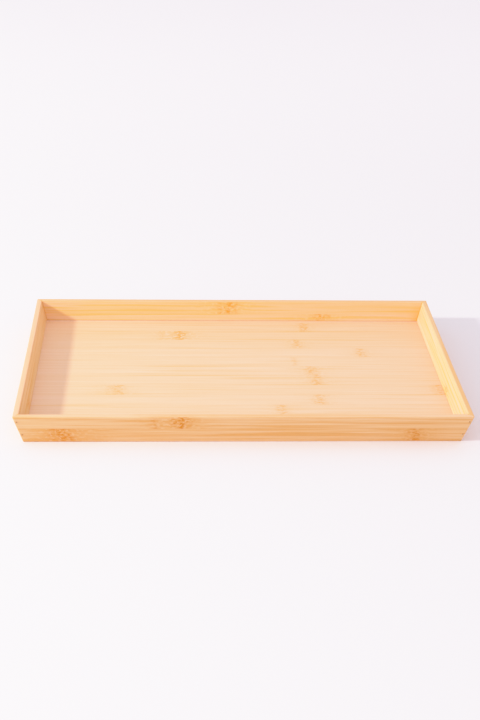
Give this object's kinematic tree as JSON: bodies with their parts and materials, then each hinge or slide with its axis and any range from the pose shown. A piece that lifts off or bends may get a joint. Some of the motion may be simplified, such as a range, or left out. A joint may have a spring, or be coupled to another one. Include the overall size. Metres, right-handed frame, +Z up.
{
  "type": "serving tray",
  "caption": "Shallow rectangular bamboo serving tray with outward-leaning walls, mitred corners pinned with brads, and a floor panel held in a groove.",
  "frame": {"origin": "centre of the tray's footprint on the surface it stands on", "axes": "+X along the long side, to the viewer's right; +Y along the short side, away from the viewer; +Z up"},
  "size_m": [0.3998, 0.2418, 0.029],
  "materials": {
    "bamboo_board": "satin clear lacquer over glued bamboo strips, grain along the board",
    "bamboo_panel": "satin clear lacquer over glued bamboo strips, grain along X",
    "brad_steel": "dull, slightly browned steel"
  },
  "bodies": {
    "root": {"floor_panel": "bamboo_panel", "front_wall": "bamboo_board", "back_wall": "bamboo_board", "left_wall": "bamboo_board", "right_wall": "bamboo_board", "brad_front_left_upper": "brad_steel", "brad_front_left_lower": "brad_steel", "brad_front_right_upper": "brad_steel", "brad_front_right_lower": "brad_steel", "brad_back_left_upper": "brad_steel", "brad_back_left_lower": "brad_steel", "brad_back_right_upper": "brad_steel", "brad_back_right_lower": "brad_steel"}
  },
  "joints": []
}
